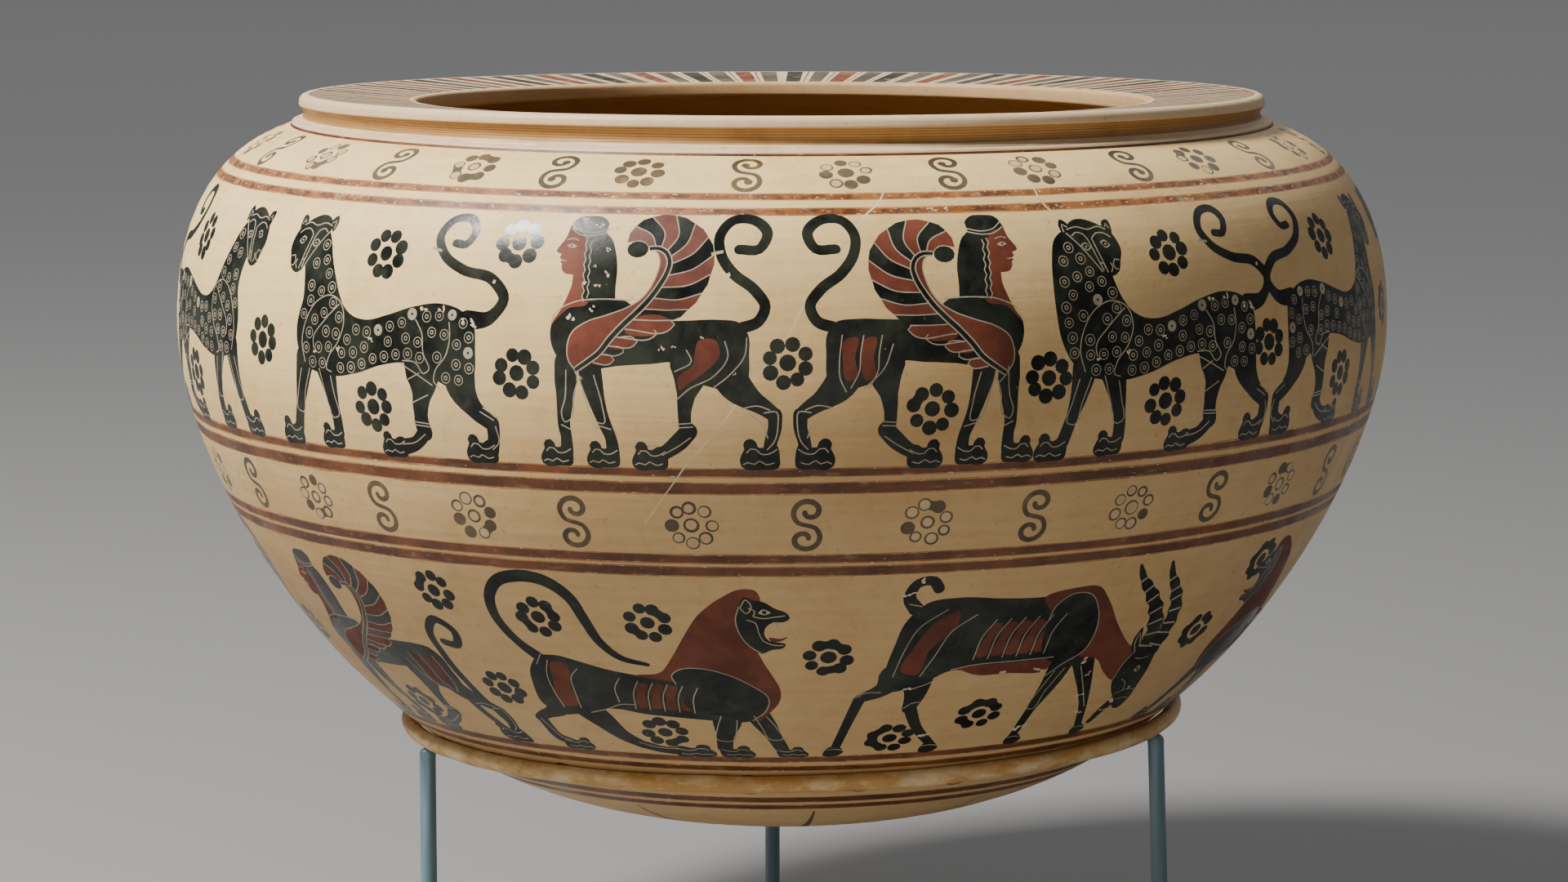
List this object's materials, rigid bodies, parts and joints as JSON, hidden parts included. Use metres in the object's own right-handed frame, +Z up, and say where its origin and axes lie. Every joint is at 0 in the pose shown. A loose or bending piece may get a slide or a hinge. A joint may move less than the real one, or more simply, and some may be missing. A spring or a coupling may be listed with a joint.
{
  "type": "dinos",
  "caption": "Round-bottomed clay mixing bowl with a broad flat lip, painted with rows of animals, resting in a thin ring stand on slim rod legs.",
  "frame": {"origin": "on the axis of the bowl, at the level of the undersides of the feet", "axes": "+Z up along the bowl's axis, -Y towards the side that the picture shows, +X to that side's right"},
  "size_m": [0.3, 0.3, 0.2338],
  "materials": {
    "painted_clay": "smooth buff clay slip painted in dark slip, added red and incised lines, low sheen, worn",
    "ring_paint": "brushed-on ochre and cream paint, low gloss",
    "leg_paint": "blue-grey paint, satin"
  },
  "bodies": {
    "root": {"bowl": "painted_clay", "stand_ring": "ring_paint", "stand_leg_right": "leg_paint", "stand_leg_left": "leg_paint", "stand_leg_back": "leg_paint"}
  },
  "joints": []
}
